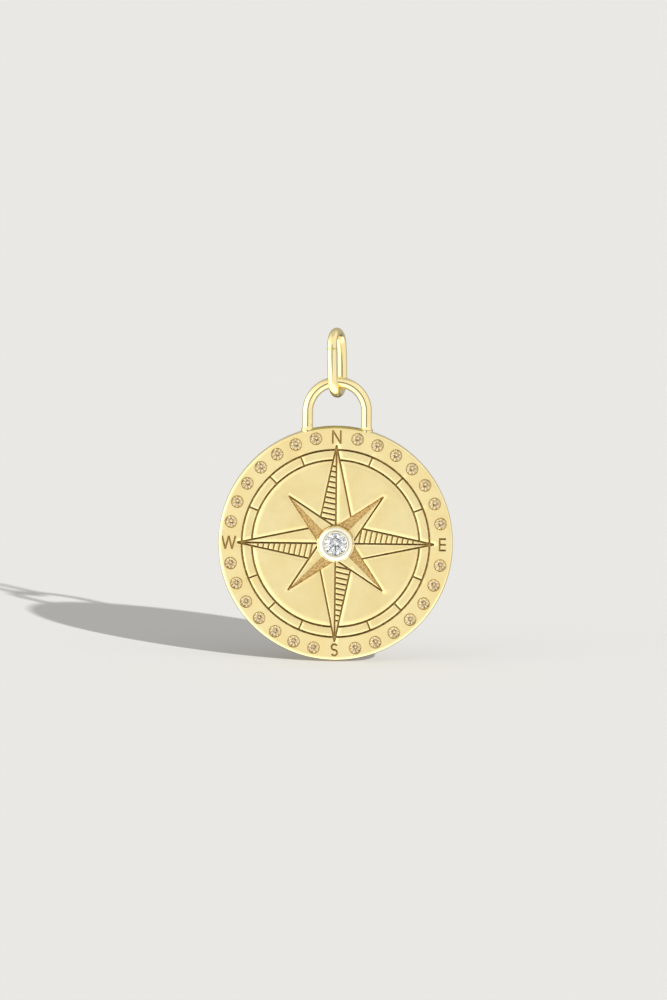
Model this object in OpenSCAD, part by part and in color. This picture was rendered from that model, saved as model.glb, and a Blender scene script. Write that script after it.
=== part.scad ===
// Compass pendant: a round medallion with an engraved compass rose, hung by its arch on an oval link.
// Millimetres, +Z up, the face towards -Y. The origin is where the link rests on a chain.

/* [Disc] */
// Diameter of the disc
disc_d = 20; // [18:0.5:30]
// Thickness of the disc
disc_t = 1.2; // [1.1:0.1:2.4]
// Radius of the rounded front edge
front_edge_r = 0.3; // [0.1:0.05:0.5]
// Radius of the rounded back edge
back_edge_r = 0.15; // [0.05:0.05:0.4]

/* [Engraved circles] */
// Width of the rim band, from the disc's edge in to the outer circle
rim_w = 2; // [1.8:0.1:3]
// Width of the scale between the outer and the inner circle
scale_w = 0.87; // [0.6:0.05:1.5]
// Scale ticks in each quarter of the circle
ticks_per_quarter = 3; // [1:1:7]
// Width of an engraved circle's groove at the surface
circle_w = 0.18; // [0.1:0.01:0.24]
// Depth of an engraved circle's groove
circle_depth = 0.09; // [0.04:0.01:0.12]

/* [Compass rose] */
// Width of an engraved line at the surface
line_w = 0.16; // [0.1:0.01:0.24]
// Depth of an engraved line
line_depth = 0.08; // [0.04:0.01:0.12]
// How far a long point runs out past the outer circle
long_point_overrun = 0.4; // [0:0.05:0.6]
// Angle between a long point's centre line and its edge
long_point_angle = 11.85; // [9:0.05:14]
// Distance from a short point's tip out to the inner circle
short_point_gap = 1.43; // [0.8:0.05:2.5]
// Angle between a short point's centre line and its edge
short_point_angle = 11.7; // [9:0.05:14]
// Depth of the matte halves of the short points
matte_depth = 0.05; // [0.03:0.01:0.1]
// Distance between hatch lines on a long point
hatch_pitch = 0.46; // [0.35:0.01:0.8]
// Depth of a hatch line
hatch_depth = 0.06; // [0.03:0.01:0.1]
// Length of a long point's tip that is left without hatch lines
hatch_tip_gap = 1.8; // [1:0.1:4]

/* [Letters] */
// Height of a letter
letter_h = 1.13; // [0.9:0.01:1.3]
// Width of a letter's strokes
letter_stroke = 0.16; // [0.1:0.01:0.2]
// Depth of the letters
letter_depth = 0.07; // [0.03:0.01:0.12]
// Width of the letter N
n_w = 0.84; // [0.7:0.01:1]
// Width of the N's slanted stroke, measured along the line of writing
n_slant_w = 0.19; // [0.12:0.01:0.26]
// Width of the letter E
e_w = 0.62; // [0.5:0.01:0.8]
// Width of the letter W
w_w = 1.3; // [1.1:0.01:1.5]

/* [Rim stones] */
// Diameter of a rim stone
rim_stone_d = 1; // [0.8:0.05:1.2]
// Stones between two letters
stones_per_quarter = 7; // [3:1:8]
// Distance from the disc's edge in to the middle of the stones and letters
stone_circle_inset = 0.9; // [0.8:0.05:1.2]
// How far the metal laps over a rim stone's edge
rim_stone_lap = 0.03; // [0.02:0.01:0.06]
// Width of the bright cut around a rim stone
bright_cut_w = 0.07; // [0.04:0.01:0.12]
// Depth of the bright cut, and of a rim stone's table below the face
bright_cut_depth = 0.04; // [0.02:0.01:0.08]

/* [Centre stone] */
// Diameter of the centre stone
center_stone_d = 2.1; // [1.6:0.05:2.6]
// How far the bezel's lip laps over the stone's edge
bezel_lap = 0.08; // [0.04:0.01:0.12]
// Thickness of the bezel's wall outside the stone
bezel_wall = 0.46; // [0.3:0.01:0.6]
// Height of the bezel above the disc
bezel_h = 0.75; // [0.6:0.05:1.1]
// Radius of the bezel's rounded rim
bezel_round = 0.42; // [0.1:0.01:0.45]
// Height of the stone's table above the bezel's rim
table_rise = 0.05; // [-0.1:0.01:0.1]

/* [Brilliant cut] */
// Width of the table as a share of the stone's diameter
table_share = 0.57; // [0.5:0.01:0.65]
// Slope of the crown facets
crown_angle = 34.5; // [30:0.5:38]
// Slope of the pavilion facets
pavilion_angle = 40.75; // [38:0.25:43]
// Thickness of the girdle as a share of the stone's diameter
girdle_share = 0.03; // [0.01:0.005:0.05]
// Share of the way from the table's edge to the girdle that a star facet reaches
star_share = 0.5; // [0.4:0.05:0.6]
// Share of the way from the girdle to the culet that a lower half facet reaches
lower_half_share = 0.75; // [0.7:0.05:0.85]

/* [Arch] */
// Thickness of the arch's wire
arch_wire_d = 0.9; // [0.6:0.05:1]
// Width of the arch over its legs
arch_w = 5.9; // [4.6:0.1:8]
// Height of the arch above the disc's edge
arch_h = 4.2; // [3.4:0.1:6]
// Height of the solder fillet at the foot of each leg
solder_h = 0.35; // [0.1:0.05:0.6]
// Extra radius of the solder fillet where it meets the disc
solder_flare = 0.12; // [0.05:0.01:0.15]

/* [Link] */
// Thickness of the link's wire
link_wire_d = 0.85; // [0.5:0.05:1]
// Height of the link
link_h = 6; // [5:0.1:9]
// Width of the link
link_w = 3.3; // [3:0.1:5]
// Radius of the tight bends at the link's ends, at the middle of the wire
link_bend_r = 1.15; // [0.95:0.05:1.4]
// Turn of the link out of the plane square to the disc
link_turn = 20.5; // [0:0.5:30]
// Lean of the link's top to the left, about the arch's crown
link_lean = 1.8; // [0:0.1:4]

/* [Clearances] */
// Gap between a stone and its setting
stone_gap = 0.02; // [0.01:0.005:0.04]
// Gap between the arch and the link that carries it
link_gap = 0.05; // [0.03:0.01:0.1]

/* [Hidden] */
gold = [0.95, 0.87, 0.62];
gold_link = [0.97, 0.89, 0.58];
clear_stone = [0.93, 0.95, 0.97];
tinted_stone = [0.91, 0.8, 0.62];

// How far a cutter reaches past the surface that it cuts
over = 0.05;
// Depth to which the bezel, the arch's legs and their solder are sunk into the disc
bezel_sink = 0.2;
leg_sink = 0.8;
solder_sink = 0.2;
// Length of a long point's edge that is left out at the tip, where it lies in the middle line
edge_stop = 0.3;
// How far a long point's edge stops short of the middle of the notch
notch_gap = 0.02;
// The link's long arcs reach this far into its end arcs, in a wire that is finer by the step
arc_lap = 0.06;
arc_step = 0.02;

disc_r = disc_d / 2;
face_z = disc_t / 2;
outer_circle_r = disc_r - rim_w;
inner_circle_r = outer_circle_r - scale_w;
stone_circle_r = disc_r - stone_circle_inset;
long_tip_r = outer_circle_r + long_point_overrun;
short_tip_r = inner_circle_r - short_point_gap;
bezel_r = center_stone_d / 2 + stone_gap + bezel_wall;
bezel_edge_r = min(bezel_round, bezel_wall);

rim_stones = 4 * stones_per_quarter;
stone_step = 90 / (stones_per_quarter + 1);

// With a long point along +Y, its edge and the next short point's edge are straight lines that
// cross at the notch. The short one meets the Y axis at short_edge_y and climbs by short_edge_x.
long_slope = tan(long_point_angle);
short_slope = tan(short_point_angle);
short_edge_x = (1 - short_slope) / (1 + short_slope);
short_edge_y = short_tip_r * sqrt(2) * short_slope / (1 + short_slope);
notch_y = (short_edge_y + short_edge_x * long_slope * long_tip_r) / (1 + short_edge_x * long_slope);
notch_x = (long_tip_r - notch_y) * long_slope;
hatch_start = notch_y - notch_x * long_slope;
hatch_lines = floor((long_tip_r - hatch_tip_gap - hatch_start) / hatch_pitch) + 1;

// Heights along the chain, down from where the link rests on it
crown_z = -(link_h - 2 * link_wire_d) + link_gap + arch_wire_d / 2;
disc_z = crown_z + arch_wire_d / 2 - arch_h - disc_r;
arch_r = (arch_w - arch_wire_d) / 2;
spring_y = crown_z - arch_r - disc_z;
leg_foot_y = sqrt(disc_r * disc_r - arch_r * arch_r);

function rim_stone_name(number) = str("rim_stone_", number < 10 ? "0" : "", number);

// Clockwise from the top: the stones of each quarter leave a place for its letter
function rim_stone_angle(number) =
    let (quarter = floor((number - 1) / stones_per_quarter))
    90 * quarter + stone_step * (number - quarter * stones_per_quarter);

function polar(radius, angle, height) = [radius * cos(angle), radius * sin(angle), height];

function crown_height(diameter) = diameter / 2 * (1 - table_share) * tan(crown_angle);

// Lays a model that is drawn flat, with its face up, upright with its face towards -Y
module stand_up() {
    translate([0, 0, disc_z]) rotate([90, 0, 0]) children();
}

// Puts children around the middle, clockwise from the top
module turn_to(angle) {
    rotate([0, 0, -angle]) children();
}

module each_quarter() {
    for (quarter = [0:3]) turn_to(90 * quarter) children();
}

// Section of an engraved groove, drawn across its run
module groove_section(width, depth) {
    half_w = width / 2 * (1 + over / depth);
    polygon([[-half_w, over], [half_w, over], [0, -depth]]);
}

// Cutter for a straight engraved line on the face, from one point to another
module line_cut(start, end, depth) {
    run = end - start;
    translate([start.x, start.y, face_z])
        rotate([0, 0, atan2(run.y, run.x)])
            rotate([90, 0, 90])
                linear_extrude(norm(run)) groove_section(line_w, depth);
}

// Quarter of an engraved circle, which stops at the edges of the long points that lie over it
module circle_cut(radius) {
    stop = asin(long_tip_r * sin(long_point_angle) / radius) - long_point_angle;
    translate([0, 0, face_z])
        rotate_extrude(angle = 90 - 2 * stop, start = stop, $fn = 144)
            translate([radius, 0]) groove_section(circle_w, circle_depth);
}

module scale_ticks() {
    tick_step = 90 / (ticks_per_quarter + 1);
    for (tick = [1:ticks_per_quarter])
        turn_to(tick * tick_step)
            line_cut([0, inner_circle_r], [0, outer_circle_r], hatch_depth);
}

// The long point along +Y: its middle line, both edges, and hatch lines square to its left edge.
// The edges run from just inside the notch to where they lie in the middle line.
module long_point_cut() {
    line_cut([0, bezel_r - over], [0, long_tip_r], line_depth);
    for (side = [-1, 1]) {
        along = [-side * sin(long_point_angle), cos(long_point_angle)];
        start = [side * notch_x, notch_y] + notch_gap * along;
        line_cut(start, [0, long_tip_r] - edge_stop * along, line_depth);
    }
    for (line = [0:hatch_lines - 1]) {
        foot_y = hatch_start + line * hatch_pitch;
        reach = (long_tip_r - foot_y) * sin(long_point_angle);
        edge = [-reach * cos(long_point_angle), foot_y + reach * sin(long_point_angle)];
        line_cut([0, foot_y], edge, hatch_depth);
    }
}

// The short point along +Y: a shallow matte recess in its left half, and a line along each edge.
// The right line runs on past the tip, and the left one ends where it lies in the right one.
module short_point_cut() {
    tip = [0, short_tip_r];
    side = short_tip_r * short_slope / (1 + short_slope);
    right_along = [-sin(short_point_angle), cos(short_point_angle)];
    left_along = [sin(short_point_angle), cos(short_point_angle)];
    translate([0, 0, face_z - matte_depth])
        linear_extrude(matte_depth + over) polygon([[0, 0], tip, [-side, side]]);
    line_cut([side, side], tip + line_w / 2 * right_along, line_depth);
    line_cut([-side, side], tip - edge_stop / 2 * left_along, line_depth);
}

// A letter is drawn around its middle. A slant is a stroke that leans from its top to its foot.
module slant(top_x, foot_x, across) {
    polygon([
        [top_x - across / 2, letter_h / 2],
        [top_x + across / 2, letter_h / 2],
        [foot_x + across / 2, -letter_h / 2],
        [foot_x - across / 2, -letter_h / 2]
    ]);
}

module letter_n() {
    post_x = (n_w - letter_stroke) / 2;
    for (x = [-post_x, post_x]) slant(x, x, letter_stroke);
    slant(-post_x, post_x, n_slant_w);
}

module letter_e() {
    slant((letter_stroke - e_w) / 2, (letter_stroke - e_w) / 2, letter_stroke);
    bar_step = (letter_h - letter_stroke) / 2;
    for (bar = [-1:1])
        translate([-e_w / 2, bar * bar_step - letter_stroke / 2])
            square([e_w, letter_stroke]);
}

module letter_w() {
    half_span = (w_w - letter_stroke) / 2;
    for (side = [-1, 1]) {
        slant(side * half_span, side * half_span / 2, letter_stroke);
        slant(0, side * half_span / 2, letter_stroke);
    }
}

// Two bows, each most of a circle, that meet in the middle
module letter_s() {
    bow_r = (letter_h - letter_stroke) / 4;
    bow_sweep = 245;
    for (turn = [0, 180])
        rotate([0, 0, turn])
            translate([0, bow_r, 0])
                rotate_extrude(angle = bow_sweep, start = 270 - bow_sweep, $fn = 48)
                    translate([bow_r - letter_stroke / 2, 0])
                        square([letter_stroke, letter_depth + over]);
}

module letter_cut(angle) {
    translate([stone_circle_r * sin(angle), stone_circle_r * cos(angle), face_z - letter_depth])
        children();
}

module letters_cut() {
    cut_h = letter_depth + over;
    letter_cut(0) linear_extrude(cut_h) letter_n();
    letter_cut(90) linear_extrude(cut_h) letter_e();
    letter_cut(180) letter_s();
    letter_cut(270) linear_extrude(cut_h) letter_w();
}

// Brilliant cut with the middle of its girdle's upper edge at the origin and its table up.
// Each girdle corner under a table corner starts a kite facet, the others an upper half facet.
module brilliant(diameter) {
    radius = diameter / 2;
    girdle_t = diameter * girdle_share;
    table_r = radius * table_share;
    table_z = crown_height(diameter);
    table_side_r = table_r * cos(22.5);
    star_r = table_side_r + star_share * (radius - table_side_r);
    star_z = tan(crown_angle) * (radius - star_r * cos(22.5));
    low_r = radius * (1 - lower_half_share);
    low_z = -girdle_t - tan(pavilion_angle) * (radius - low_r * cos(22.5));
    culet_z = -girdle_t - tan(pavilion_angle) * radius;
    // Rings of corners from the table down, then the culet
    table = 0;
    star = 8;
    upper = 16;
    lower = 32;
    low = 48;
    culet = 56;
    points = concat(
        [for (k = [0:7]) polar(table_r, 45 * k, table_z)],
        [for (k = [0:7]) polar(star_r, 45 * k + 22.5, star_z)],
        [for (k = [0:15]) polar(radius, 22.5 * k, 0)],
        [for (k = [0:15]) polar(radius, 22.5 * k, -girdle_t)],
        [for (k = [0:7]) polar(low_r, 45 * k + 22.5, low_z)],
        [[0, 0, culet_z]]
    );
    faces = concat(
        [[for (k = [7:-1:0]) table + k]],
        [for (k = [0:7]) [table + k, table + (k + 1) % 8, star + k]],
        [for (k = [0:7]) [table + k, star + k, upper + 2 * k, star + (k + 7) % 8]],
        [for (k = [0:7]) [star + k, upper + 2 * k + 1, upper + 2 * k]],
        [for (k = [0:7]) [star + k, upper + (2 * k + 2) % 16, upper + 2 * k + 1]],
        [for (k = [0:15]) [upper + k, upper + (k + 1) % 16, lower + (k + 1) % 16, lower + k]],
        [for (k = [0:7]) [low + k, lower + 2 * k, lower + 2 * k + 1]],
        [for (k = [0:7]) [low + k, lower + 2 * k + 1, lower + (2 * k + 2) % 16]],
        [for (k = [0:7]) [culet, low + (k + 7) % 8, lower + 2 * k, low + k]]
    );
    polyhedron(points, faces);
}

// Round seat for a brilliant in the same place, open upwards to open_z inside the lapping metal
module stone_seat(diameter, lap, open_z) {
    radius = diameter / 2;
    girdle_t = diameter * girdle_share;
    crown_rise = stone_gap / cos(crown_angle);
    pavilion_rise = stone_gap / cos(pavilion_angle);
    lip_r = radius - lap;
    rotate_extrude($fn = 72) polygon([
        [0, -girdle_t - radius * tan(pavilion_angle) - pavilion_rise],
        [radius + stone_gap, -girdle_t + stone_gap * tan(pavilion_angle) - pavilion_rise],
        [radius + stone_gap, crown_rise - stone_gap * tan(crown_angle)],
        [lip_r, crown_rise + lap * tan(crown_angle)],
        [lip_r, open_z],
        [0, open_z]
    ]);
}

// Where the girdle of each stone lies, measured from the face
center_girdle_z = bezel_h + table_rise - crown_height(center_stone_d);
rim_girdle_z = -bright_cut_depth - crown_height(rim_stone_d);

module rim_stone_place(number) {
    turn_to(rim_stone_angle(number))
        translate([0, stone_circle_r, face_z + rim_girdle_z]) children();
}

module rim_seat() {
    lip_r = rim_stone_d / 2 - rim_stone_lap;
    cut_slope = bright_cut_w / bright_cut_depth;
    stone_seat(rim_stone_d, rim_stone_lap, over - rim_girdle_z);
    translate([0, 0, -rim_girdle_z - bright_cut_depth])
        cylinder(
            h = bright_cut_depth + over,
            r1 = lip_r,
            r2 = lip_r + bright_cut_w + over * cut_slope,
            $fn = 72
        );
}

// Half section of the disc with its rounded edges
module disc_section() {
    translate([0, back_edge_r - face_z])
        square([disc_r, disc_t - front_edge_r - back_edge_r]);
    translate([0, -face_z]) square([disc_r - back_edge_r, disc_t]);
    translate([0, -face_z]) square([disc_r - front_edge_r, disc_t]);
    translate([disc_r - front_edge_r, face_z - front_edge_r]) circle(front_edge_r, $fn = 32);
    translate([disc_r - back_edge_r, back_edge_r - face_z]) circle(back_edge_r, $fn = 32);
}

module bezel() {
    wall_r = bezel_r - bezel_edge_r;
    translate([0, 0, face_z])
        rotate_extrude($fn = 96) {
            translate([0, -bezel_sink]) square([bezel_r, bezel_sink + bezel_h - bezel_edge_r]);
            translate([0, -bezel_sink]) square([wall_r, bezel_sink + bezel_h]);
            translate([wall_r, bezel_h - bezel_edge_r]) circle(bezel_edge_r, $fn = 32);
        }
}

// Half ring on two legs that stand on the disc's edge, with a solder fillet at each foot
module arch() {
    translate([0, spring_y, 0])
        rotate_extrude(angle = 180, $fn = 96) translate([arch_r, 0]) circle(d = arch_wire_d, $fn = 32);
    for (side = [-1, 1]) {
        translate([side * arch_r, spring_y, 0])
            rotate([90, 0, 0])
                cylinder(h = spring_y - leg_foot_y + leg_sink, d = arch_wire_d, $fn = 32);
        translate([side * arch_r, leg_foot_y - solder_sink, 0])
            rotate([-90, 0, 0])
                cylinder(
                    h = solder_sink + solder_h,
                    r1 = arch_wire_d / 2 + solder_flare,
                    r2 = arch_wire_d / 2,
                    $fn = 32
                );
    }
}

// The disc with its arch, cut after they are joined so that no leg fills a seat
module engraved_disc() {
    difference() {
        union() {
            rotate_extrude($fn = 192) disc_section();
            arch();
        }
        each_quarter() {
            for (radius = [outer_circle_r, inner_circle_r]) circle_cut(radius);
            scale_ticks();
            long_point_cut();
            turn_to(45) short_point_cut();
        }
        letters_cut();
        for (number = [1:rim_stones]) rim_stone_place(number) rim_seat();
    }
}

module medallion() {
    color(gold) stand_up() {
        difference() {
            union() {
                engraved_disc();
                bezel();
            }
            translate([0, 0, face_z + center_girdle_z])
                stone_seat(center_stone_d, bezel_lap, bezel_h + over - center_girdle_z);
        }
    }
}

// Oval of four arcs that run into each other, square to the disc but for its turn and lean
module oval_link() {
    half_w = (link_w - link_wire_d) / 2;
    half_h = (link_h - link_wire_d) / 2;
    end_y = half_h - link_bend_r;
    // The long side's centre lies on the far side, where both arcs share one tangent
    reach = half_w - link_bend_r;
    side_x = (end_y * end_y - reach * reach) / (2 * reach);
    side_r = half_w + side_x;
    side_half_angle = atan2(end_y, side_x);
    lap_angle = arc_lap / side_r * 180 / PI;
    color(gold_link)
        translate([0, 0, crown_z])
            rotate([0, -link_lean, 0])
                translate([0, 0, link_wire_d / 2 - half_h - crown_z])
                    rotate([90, 0, 90 - link_turn])
                        for (turn = [0, 180])
                            rotate([0, 0, turn]) {
                                link_arc(
                                    -side_x, side_r, side_half_angle + lap_angle, link_wire_d - arc_step
                                );
                                rotate([0, 0, 90])
                                    link_arc(end_y, link_bend_r, 90 - side_half_angle, link_wire_d);
                            }
}

// Wire bent about a centre on the X axis, from -half_angle to half_angle around +X
module link_arc(center_x, radius, half_angle, wire_d) {
    translate([center_x, 0, 0])
        rotate_extrude(angle = 2 * half_angle, start = -half_angle, $fn = 128)
            translate([radius, 0]) circle(d = wire_d, $fn = 32);
}

module center_stone() {
    color(clear_stone) stand_up()
        translate([0, 0, face_z + center_girdle_z]) brilliant(center_stone_d);
}

module rim_stone(number) {
    color(tinted_stone) stand_up() rim_stone_place(number) brilliant(rim_stone_d);
}

medallion();
oval_link();
center_stone();
for (number = [1:rim_stones])
    rim_stone(number);
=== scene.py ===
"""Compass pendant in yellow gold: the finished surfaces of the packed model, and a studio to see it in."""

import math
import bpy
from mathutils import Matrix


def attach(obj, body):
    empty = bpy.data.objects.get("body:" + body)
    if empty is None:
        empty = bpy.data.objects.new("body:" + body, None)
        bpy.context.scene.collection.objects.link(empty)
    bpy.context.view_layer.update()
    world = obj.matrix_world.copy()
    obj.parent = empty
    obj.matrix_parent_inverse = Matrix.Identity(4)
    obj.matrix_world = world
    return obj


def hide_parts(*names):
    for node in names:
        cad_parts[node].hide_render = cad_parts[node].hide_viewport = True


bl_info = {
    "name": "Compass pendant",
    "version": (1, 0, 0),
    "blender": (4, 5, 0),
    "location": "3D View > Sidebar > Pendant",
    "description": "Builds the engraved face, settings, wires, stones and studio of a compass pendant",
    "category": "Object",
}

from functools import partial

import bpy
import numpy as np
from bpy.props import FloatProperty, FloatVectorProperty, IntProperty, PointerProperty
from mathutils import Quaternion, Vector
from mathutils.geometry import delaunay_2d_cdt

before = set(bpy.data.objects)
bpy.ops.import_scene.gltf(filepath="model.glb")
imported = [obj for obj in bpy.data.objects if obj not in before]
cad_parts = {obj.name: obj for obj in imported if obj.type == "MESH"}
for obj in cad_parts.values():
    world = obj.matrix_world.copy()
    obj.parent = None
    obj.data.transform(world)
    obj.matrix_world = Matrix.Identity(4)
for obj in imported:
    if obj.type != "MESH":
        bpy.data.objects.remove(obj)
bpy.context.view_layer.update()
MM = 0.001
QUARTER = math.pi / 2
# A fold stays sharp from this angle up
SHARP = math.radians(35)
# How many sides the round pieces are drawn with
DISC_SIDES, BEZEL_SIDES, SEAT_SIDES, WIRE_SIDES = 192, 96, 32, 40
# A round brilliant: the slopes of its crown and pavilion, and its table and girdle as shares of its diameter
CROWN, PAVILION = math.radians(34.5), math.radians(40.75)
TABLE, GIRDLE = 0.57, 0.03
DIAMOND_IOR = 2.417


def linear(hex_colour):
    """Linear RGBA of an sRGB hex colour such as "#fbe7a6"."""
    shares = [int(hex_colour[place:place + 2], 16) / 255 for place in (1, 3, 5)]
    return [s / 12.92 if s <= 0.04045 else ((s + 0.055) / 1.055) ** 2.4 for s in shares] + [1.0]


# What a user would change


def size(name, millimetres, description):
    """A length that is typed in millimetres."""
    length = millimetres * MM
    return FloatProperty(
        name=name, description=description, default=length, unit="LENGTH", subtype="DISTANCE", precision=5
    )


def angle(name, degrees, description):
    """An angle that is typed in degrees."""
    turn = math.radians(degrees)
    return FloatProperty(name=name, description=description, default=turn, unit="ROTATION", subtype="ANGLE")


def colour(name, hex_colour, description):
    """A colour that is typed as an sRGB hex value."""
    return FloatVectorProperty(
        name=name, description=description, default=linear(hex_colour), size=4, min=0, max=1, subtype="COLOR"
    )


def share(name, value, description):
    """A plain number from 0 up, such as a roughness or a brightness."""
    return FloatProperty(
        name=name, description=description, default=value, min=0, subtype="FACTOR", soft_max=3
    )


class PendantDisc(bpy.types.PropertyGroup):
    """Sizes of the disc, the same as in the part's source"""

    diameter: size("Diameter", 20, "Diameter of the disc")
    thickness: size("Thickness", 1.2, "Thickness of the disc")
    middle: size("Middle", -17.55, "Height of the disc's middle, below where the link hangs")
    front_edge: size("Front edge", 0.3, "Radius of the rounded front edge")
    back_edge: size("Back edge", 0.15, "Radius of the rounded back edge")


class PendantEngraving(bpy.types.PropertyGroup):
    """Sizes of everything that is cut into the face"""

    rim_width: size("Rim band", 2, "From the disc's edge in to the outer circle")
    scale_width: size("Scale", 0.87, "Between the outer and the inner circle")
    ticks: IntProperty(name="Ticks", description="Scale ticks in each quarter", default=3, min=1, max=7)
    circle_width: size("Circle line", 0.18, "Width of an engraved circle")
    circle_depth: size("Circle depth", 0.09, "Depth of an engraved circle")
    line_width: size("Line", 0.16, "Width of a straight engraved line")
    line_depth: size("Line depth", 0.08, "Depth of a straight engraved line")
    hatch_depth: size("Hatch depth", 0.06, "Depth of the hatch lines and ticks")
    hatch_pitch: size("Hatch pitch", 0.46, "Distance between hatch lines")
    hatch_tip_gap: size("Bare tip", 1.8, "Length of a long point's tip without hatch lines")
    long_overrun: size("Long point overrun", 0.4, "How far a long point runs out past the outer circle")
    long_angle: angle("Long point angle", 11.85, "Between a long point's middle line and its edge")
    short_gap: size("Short point gap", 1.43, "From a short point's tip out to the inner circle")
    short_angle: angle("Short point angle", 11.7, "Between a short point's middle line and its edge")
    matte_depth: size("Matte depth", 0.05, "Depth of the sandblasted halves")
    letter_height: size("Letter height", 1.13, "Height of the four letters")
    letter_stroke: size("Letter stroke", 0.16, "Width of a letter's strokes")
    letter_depth: size("Letter depth", 0.07, "Depth of the letters")
    buff_slope: share("Buffed slope", 0.36, "How steeply the buffed metal falls at the brink of a line")


class PendantSettings(bpy.types.PropertyGroup):
    """Sizes of the stones' settings"""

    rim_stone: size("Rim stone", 1, "Diameter of a rim stone")
    stones_per_quarter: IntProperty(
        name="Stones a quarter", description="Stones between two letters", default=7, min=3, max=8
    )
    stone_circle_inset: size("Stone circle", 0.9, "From the disc's edge in to the middle of the stones")
    lap: size("Lap", 0.03, "How far the metal laps over a rim stone")
    bright_cut: size("Bright cut", 0.07, "Width of the bright cut around a rim stone")
    bright_cut_depth: size("Bright cut depth", 0.04, "Depth of the bright cut")
    centre_stone: size("Centre stone", 2.1, "Diameter of the centre stone")
    bezel_lap: size("Bezel lap", 0.08, "How far the bezel laps over the centre stone")
    bezel_wall: size("Bezel wall", 0.46, "Thickness of the bezel outside the stone")
    bezel_height: size("Bezel height", 0.75, "Height of the bezel above the disc")
    bezel_round: size("Bezel rounding", 0.42, "Radius of the bezel's rounded rim")
    table_rise: size("Table", 0.05, "Height of the centre stone's table above the bezel")
    stone_gap: size("Gap", 0.02, "Gap between a stone and its setting")


class PendantWires(bpy.types.PropertyGroup):
    """Sizes of the arch and of the link"""

    arch_wire: size("Arch wire", 0.9, "Thickness of the arch's wire")
    arch_width: size("Arch width", 5.9, "Width of the arch over its legs")
    crown: size("Arch crown", -3.8, "Height of the middle of the wire at the arch's crown")
    solder_height: size("Solder height", 0.35, "Height of the solder fillet at a leg's foot")
    solder_flare: size("Solder flare", 0.12, "Extra radius of the solder fillet at the disc")
    link_wire: size("Link wire", 0.85, "Thickness of the link's wire")
    link_height: size("Link height", 6, "Height of the link")
    link_width: size("Link width", 3.3, "Width of the link")
    link_bend: size("Link bend", 1.15, "Radius of the tight bends, at the middle of the wire")
    link_turn: angle("Link turn", 20.5, "Turn of the link out of the plane square to the disc")
    link_lean: angle("Link lean", 1.8, "Lean of the link's top to the left, about the arch's crown")
    seam_height: size("Seam", -0.9, "Height of the soldered seam on the link's near side")


class PendantColours(bpy.types.PropertyGroup):
    """Colours of the metal and the stones"""

    gold: colour("Gold", "#fbeab0", "Polished yellow gold")
    gold_warm: colour("Warm gold", "#f9e4a6", "Slightly redder patches of the gold")
    # The darkest oxide, used for painted shade in walls that face up or down
    patina_thick: colour("Thick patina", "#5a4418", "Oxide in the lines that run level")
    patina: colour("Patina", "#7f6224", "Oxide left in the engraved lines")
    patina_worn: colour("Worn patina", "#aa8a4a", "Oxide where the buff has thinned it")
    patina_thin: colour("Thin patina", "#b89a60", "Oxide that is almost rubbed away")
    # Gold tinted almost white on the bezel: a painted highlight
    pale_gold: colour("Pale gold", "#fef9e6", "Gold of the bezel, burnished almost white")
    pale_gold_warm: colour("Warm pale gold", "#fdf4d8", "Warmer patches of the bezel")
    matte: colour("Matte gold", "#ebcb86", "Sandblasted and darkened gold")
    matte_dark: colour("Matte shadow", "#b08c54", "Pits of the sandblasted gold")
    solder: colour("Solder", "#c3b468", "Solder that is a shade greener than the gold")
    champagne: colour("Champagne stone", "#fae3aa", "Rim stones")
    # Painted dark facets and painted shade at the girdle of the rim stones
    champagne_dark: colour("Champagne shadow", "#4a2f10", "Dark facets of the rim stones")
    champagne_haze: colour("Champagne haze", "#f0cc8a", "Deeper patches of the rim stones")
    white_stone: colour("White stone", "#fdfefe", "Centre stone")
    white_haze: colour("White haze", "#f4f7f8", "Greyer patches of the centre stone")
    # Painted dark facets and the bezel's painted shadow on the centre stone
    white_dark: colour("White stone's shadow", "#24282c", "Dark facets of the centre stone")


class PendantStudio(bpy.types.PropertyGroup):
    """The camera, the floor and the light"""

    camera_distance: size("Camera distance", 710, "From the camera to what it looks at")
    camera_height: angle("Camera elevation", 4.7, "Elevation of the camera above the horizon")
    roll: angle("Camera roll", 0.68, "Turn of the camera about its own view, counterclockwise")
    lens: FloatProperty(name="Lens", description="Focal length", default=300, unit="CAMERA")
    aim_side: size("Aim sideways", -0.22, "Sideways place of the middle of the picture")
    aim_height: size("Aim height", -13.88, "Height of the middle of the picture")
    floor: colour("Floor", "#bab9b6", "Painted studio floor")
    floor_height: size("Floor height", -27.67, "Height of the floor")
    sun_side: angle("Sun to the right", 25.6, "How far right of the camera the hard light stands")
    sun_height: angle("Sun elevation", 19.9, "Elevation of the hard light")
    sun_strength: share("Sun strength", 7.42, "Strength of the hard light")
    soft_light: colour("Soft light", "#ffffff", "Light that comes from all round")
    wall: colour("Wall", "#eae9e5", "What the camera sees behind the floor")


GROUPS = {
    "pendant_disc": PendantDisc,
    "pendant_engraving": PendantEngraving,
    "pendant_settings": PendantSettings,
    "pendant_wires": PendantWires,
    "pendant_colours": PendantColours,
    "pendant_studio": PendantStudio,
}


def in_mm(group):
    """The settings of a group by name, its lengths in millimetres."""
    values = {}
    for name, prop in group.bl_rna.properties.items():
        if name not in ("rna_type", "name"):
            value = getattr(group, name)
            values[name] = value / MM if prop.unit == "LENGTH" else value
    return values


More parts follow.
